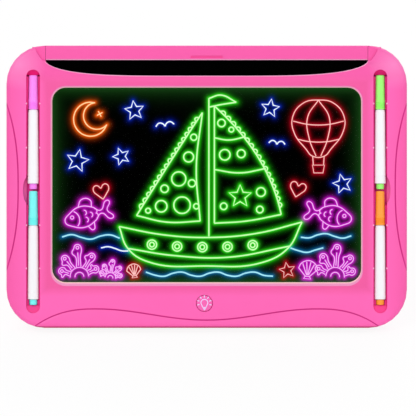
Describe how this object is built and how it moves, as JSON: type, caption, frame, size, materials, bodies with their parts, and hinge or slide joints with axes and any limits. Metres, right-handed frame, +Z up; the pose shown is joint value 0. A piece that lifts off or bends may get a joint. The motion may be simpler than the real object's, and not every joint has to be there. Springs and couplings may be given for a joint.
{
  "type": "led writing board",
  "caption": "Framed edge-lit clear writing panel with capped markers in slots at its sides, a round mode button, a hinged top flap and a folding rear stand.",
  "frame": {"origin": "on the table, at the middle of the footprint of the board leaning on its opened stand", "axes": "+X to the right as seen from the front, +Y from the writing face to the stand behind it, +Z up"},
  "size_m": [0.366, 0.111, 0.2456],
  "materials": {
    "pink_plastic": "satin moulded plastic",
    "clear_panel": "polished clear sheet",
    "black_plastic": "smooth black sheet",
    "white_plastic": "glossy moulded plastic",
    "grey_foam": "soft foam strip",
    "circuit_board": "lacquered laminate",
    "steel": "zinc plated",
    "tin_plate": "tinned spring plate",
    "grey_rubber": "matt rubber",
    "cell_jacket": "plain printed jacket",
    "red_wire": "wire sleeve",
    "black_wire": "wire sleeve",
    "felt": "felt",
    "ink_fibre": "soaked fibre",
    "violet_plastic": "glossy moulded plastic",
    "cyan_plastic": "glossy moulded plastic",
    "green_plastic": "glossy moulded plastic",
    "orange_plastic": "glossy moulded plastic"
  },
  "bodies": {
    "case": {"front_frame": "pink_plastic", "rear_cover": "pink_plastic", "writing_panel": "clear_panel", "backing_panel": "black_plastic", "tact_switch": "black_plastic", "light_strip_left": "white_plastic", "light_strip_right": "white_plastic", "spacer_left": "grey_foam", "spacer_right": "grey_foam", "control_board": "circuit_board", "stand_hinge_rod": "steel", "board_screw_1": "steel", "board_screw_2": "steel", "case_screw_1": "steel", "case_screw_2": "steel", "case_screw_3": "steel", "case_screw_4": "steel", "case_screw_5": "steel", "case_screw_6": "steel", "case_screw_7": "steel", "case_screw_8": "steel", "terminal_positive": "tin_plate", "terminal_negative": "tin_plate", "bridge_left": "tin_plate", "bridge_right": "tin_plate", "battery_cell_1": "cell_jacket", "battery_cell_2": "cell_jacket", "battery_cell_3": "cell_jacket", "battery_wire_positive": "red_wire", "battery_wire_negative": "black_wire", "strip_wire_left": "black_wire", "strip_wire_right": "black_wire"},
    "stand": {"stand": "pink_plastic", "stand_foot_pad": "grey_rubber"},
    "flap": {"top_flap": "pink_plastic"},
    "button": {"button_cap": "pink_plastic"},
    "plunger": {"switch_plunger": "white_plastic"},
    "door": {"battery_door": "pink_plastic", "door_screw": "steel"},
    "marker_1": {"marker_1_barrel": "white_plastic", "marker_1_nib": "felt", "marker_1_reservoir": "ink_fibre", "marker_1_plug": "violet_plastic"},
    "marker_1_cap": {"marker_1_cap": "violet_plastic"},
    "marker_3": {"marker_3_barrel": "white_plastic", "marker_3_nib": "felt", "marker_3_reservoir": "ink_fibre", "marker_3_plug": "green_plastic"},
    "marker_3_cap": {"marker_3_cap": "green_plastic"},
    "marker_2_cap": {"marker_2_cap": "cyan_plastic"},
    "marker_2": {"marker_2_barrel": "white_plastic", "marker_2_nib": "felt", "marker_2_reservoir": "ink_fibre", "marker_2_plug": "cyan_plastic"},
    "marker_4_cap": {"marker_4_cap": "orange_plastic"},
    "marker_4": {"marker_4_barrel": "white_plastic", "marker_4_nib": "felt", "marker_4_reservoir": "ink_fibre", "marker_4_plug": "orange_plastic"}
  },
  "joints": [
    {"name": "stand_fold", "type": "hinge", "parent": "case", "child": "stand", "pos_m": [0, 0.01269, 0.13472], "axis": [-1, 0, 0], "range_deg": [0, 31.4]},
    {"name": "flap_open", "type": "hinge", "parent": "case", "child": "flap", "pos_m": [0, 0.05333, 0.23781], "axis": [-1, 0, 0], "range_deg": [0, 100]},
    {"name": "button_press", "type": "slide", "parent": "case", "child": "button", "axis": [0, 0.9336, -0.3584], "range_m": [0, 0.0007], "stiffness_N_per_m": 1500},
    {"name": "plunger_press", "type": "slide", "parent": "case", "child": "plunger", "axis": [0, 0.9336, -0.3584], "range_m": [0, 0.0007]},
    {"name": "door_off", "type": "slide", "parent": "case", "child": "door", "axis": [0, 0.9336, -0.3584], "range_m": [0, 0.025]},
    {"name": "marker_1_lift", "type": "slide", "parent": "case", "child": "marker_1", "axis": [0, -0.9336, 0.3584], "range_m": [0, 0.07]},
    {"name": "marker_1_uncap", "type": "slide", "parent": "marker_1", "child": "marker_1_cap", "axis": [0, 0.3584, 0.9336], "range_m": [0, 0.0245]},
    {"name": "marker_3_lift", "type": "slide", "parent": "case", "child": "marker_3", "axis": [0, -0.9336, 0.3584], "range_m": [0, 0.07]},
    {"name": "marker_3_uncap", "type": "slide", "parent": "marker_3", "child": "marker_3_cap", "axis": [0, 0.3584, 0.9336], "range_m": [0, 0.0245]},
    {"name": "marker_2_lift", "type": "slide", "parent": "case", "child": "marker_2_cap", "axis": [0, -0.9336, 0.3584], "range_m": [0, 0.07]},
    {"name": "marker_2_uncap", "type": "slide", "parent": "marker_2_cap", "child": "marker_2", "axis": [0, -0.3584, -0.9336], "range_m": [0, 0.0245]},
    {"name": "marker_4_lift", "type": "slide", "parent": "case", "child": "marker_4_cap", "axis": [0, -0.9336, 0.3584], "range_m": [0, 0.07]},
    {"name": "marker_4_uncap", "type": "slide", "parent": "marker_4_cap", "child": "marker_4", "axis": [0, -0.3584, -0.9336], "range_m": [0, 0.0245]}
  ],
  "couplings": [
    {"joint": "plunger_press", "follows": "button_press", "ratio": 1},
    {"joint": "marker_1_uncap", "follows": "marker_1_lift", "ratio": 0.35},
    {"joint": "marker_2_uncap", "follows": "marker_2_lift", "ratio": 0.35},
    {"joint": "marker_3_uncap", "follows": "marker_3_lift", "ratio": 0.35},
    {"joint": "marker_4_uncap", "follows": "marker_4_lift", "ratio": 0.35}
  ]
}
